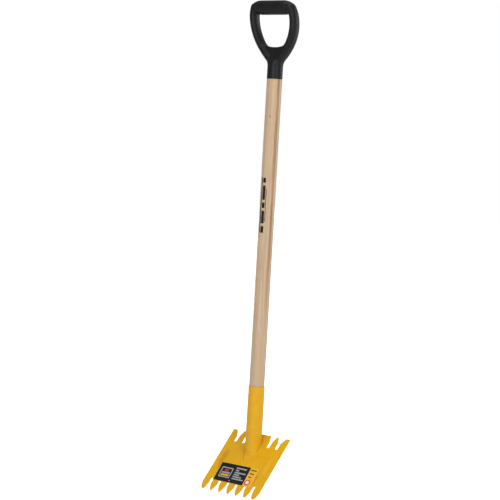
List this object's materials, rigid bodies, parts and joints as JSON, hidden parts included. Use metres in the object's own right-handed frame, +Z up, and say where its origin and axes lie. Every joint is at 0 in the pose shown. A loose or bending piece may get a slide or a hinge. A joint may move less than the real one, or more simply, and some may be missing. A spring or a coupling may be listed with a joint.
{
  "type": "shingle remover fork",
  "caption": "Roofing shingle-remover fork: toothed angled steel blade, steel socket, straight wooden shaft and moulded D-grip.",
  "frame": {"origin": "where the shaft's axis meets the flat underside of the blade", "axes": "+Z up the shaft's axis to the grip, +X across the blade, -Y to the side the blade's long teeth point"},
  "size_m": [0.1724, 0.121, 1.1549],
  "materials": {
    "painted_steel": "yellow powder coat, semi-gloss",
    "ash_wood": "turned and clear lacquered",
    "black_plastic": "moulded, fine grain",
    "zinc_steel": "zinc plated",
    "label_film": "printed film"
  },
  "bodies": {
    "root": {"blade": "painted_steel", "socket": "painted_steel", "socket_weld": "painted_steel", "shaft": "ash_wood", "grip": "black_plastic", "socket_screw": "zinc_steel", "grip_screw": "zinc_steel", "label": "label_film"}
  },
  "joints": []
}
